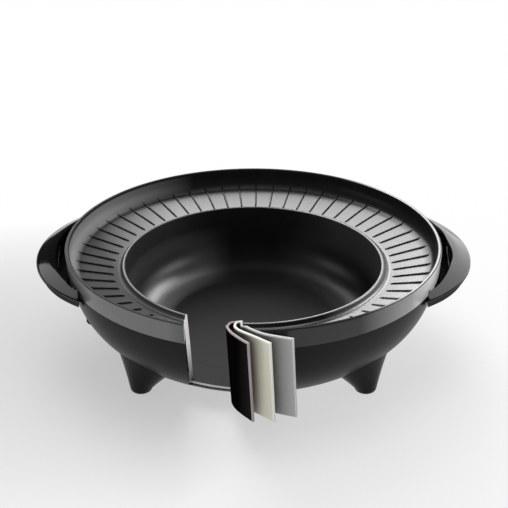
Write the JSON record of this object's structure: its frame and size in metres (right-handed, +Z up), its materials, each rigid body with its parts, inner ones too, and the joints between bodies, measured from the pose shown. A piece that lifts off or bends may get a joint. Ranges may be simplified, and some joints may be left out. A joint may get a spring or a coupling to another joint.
{
  "type": "hot pot grill combo",
  "caption": "Electric hot pot with a ribbed grill ring round a deep pot, a lift-out pan on a round heated base with crescent handles and feet, its front cut open to show the wall layers.",
  "frame": {"origin": "on the table, straight below the middle of the pot", "axes": "+Z up; the handles lie along +X and -X; the cut front faces -Y"},
  "size_m": [0.442, 0.4001, 0.114],
  "materials": {
    "pan_casting": "cast aluminium under a satin black non-stick coating",
    "layer_coating": "satin brown-black coating with a paler cut edge",
    "layer_alloy": "warm grey alloy, brushed",
    "layer_outer": "mid grey outer coat",
    "shell_sheet": "satin near-black paint on pressed steel sheet",
    "moulded": "gloss black heat-proof moulding",
    "rubber": "matt black silicone rubber",
    "steel": "plain steel",
    "brass": "plain brass",
    "ceramic": "unglazed pale ceramic",
    "lead_red": "silicone sleeve",
    "lead_blue": "silicone sleeve",
    "lead_white": "silicone sleeve"
  },
  "bodies": {
    "base": {"base_shell": "shell_sheet", "rim_gasket": "rubber", "handle_right": "moulded", "handle_left": "moulded", "handle_cover_right": "moulded", "handle_cover_left": "moulded", "handle_screw_1": "steel", "handle_screw_2": "steel", "handle_screw_3": "steel", "handle_screw_4": "steel", "foot_front_left": "moulded", "foot_front_right": "moulded", "foot_rear_left": "moulded", "foot_rear_right": "moulded", "foot_pad_front_left": "rubber", "foot_pad_front_right": "rubber", "foot_pad_rear_left": "rubber", "foot_pad_rear_right": "rubber", "foot_screw_front_left": "steel", "foot_screw_front_right": "steel", "foot_screw_rear_left": "steel", "foot_screw_rear_right": "steel", "heating_element": "steel", "element_stud_front": "brass", "element_stud_rear": "brass", "stud_bead_front": "ceramic", "stud_bead_rear": "ceramic", "element_saddle_1": "steel", "element_saddle_2": "steel", "element_saddle_3": "steel", "element_saddle_4": "steel", "element_saddle_5": "steel", "heat_reflector": "steel", "thermal_cutout": "steel", "bottom_cover": "shell_sheet", "base_screw_1": "steel", "base_screw_2": "steel", "base_screw_3": "steel", "base_screw_4": "steel", "base_nut_1": "steel", "base_nut_2": "steel", "base_nut_3": "steel", "base_nut_4": "steel", "inlet_housing": "moulded", "inlet_block": "ceramic", "inlet_pin_front": "brass", "inlet_pin_rear": "brass", "probe_sleeve": "steel", "lead_live": "lead_red", "lead_neutral": "lead_blue", "lead_jumper": "lead_white"},
    "pan": {"grill_pan": "pan_casting", "nonstick_layer": "layer_coating", "alloy_layer": "layer_alloy", "outer_layer": "layer_outer"}
  },
  "joints": [
    {"name": "pan_lift", "type": "slide", "parent": "base", "child": "pan", "axis": [0, 0, 1], "range_m": [0, 0.13]}
  ]
}
